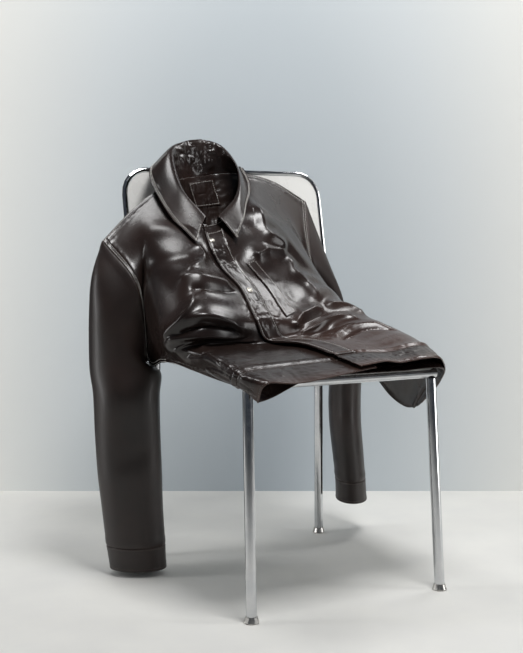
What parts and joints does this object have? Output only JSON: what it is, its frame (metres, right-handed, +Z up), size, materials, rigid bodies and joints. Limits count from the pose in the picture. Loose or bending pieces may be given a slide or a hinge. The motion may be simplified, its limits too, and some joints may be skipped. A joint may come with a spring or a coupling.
{
  "type": "leather shirt jacket draped over a tubular steel chair",
  "caption": "Leather shirt jacket with a folded collar and long sleeves, sitting on a small tubular steel chair with its sleeves hanging at both sides.",
  "frame": {"origin": "middle of the footprint of jacket and chair together, on the floor", "axes": "+X to the viewer's right when the chair is seen from its front, +Y from the front of the seat to the backrest, +Z up"},
  "size_m": [0.688, 0.6192, 0.9086],
  "materials": {
    "leather": "smooth dark brown-black leather with a soft gloss and fine creases",
    "snap_metal": "worn nickel snap caps",
    "steel": "bright chromed steel tube",
    "pale_panel": "off-white enamelled sheet"
  },
  "bodies": {
    "root": {"back": "leather", "backrest_corner_left": "steel", "backrest_corner_right": "steel", "backrest_sheet": "pale_panel", "backrest_top": "steel", "backrest_upright_left": "steel", "backrest_upright_right": "steel", "chest_welt": "leather", "collar": "leather", "cuff_left": "leather", "cuff_right": "leather", "front_left": "leather", "front_right": "leather", "glide_back_left": "steel", "glide_back_right": "steel", "glide_front_left": "steel", "glide_front_right": "steel", "hem_band_back": "leather", "hem_band_front_left": "leather", "hem_band_front_right": "leather", "leg_back_left": "steel", "leg_back_right": "steel", "leg_front_left": "steel", "leg_front_right": "steel", "neck_label": "leather", "placket": "leather", "seat_rail_back": "steel", "seat_rail_front": "steel", "seat_rail_left": "steel", "seat_rail_right": "steel", "seat_sheet": "pale_panel", "sleeve_left": "leather", "sleeve_right": "leather", "snap_neck": "snap_metal", "snap_placket": "snap_metal"}
  },
  "joints": []
}
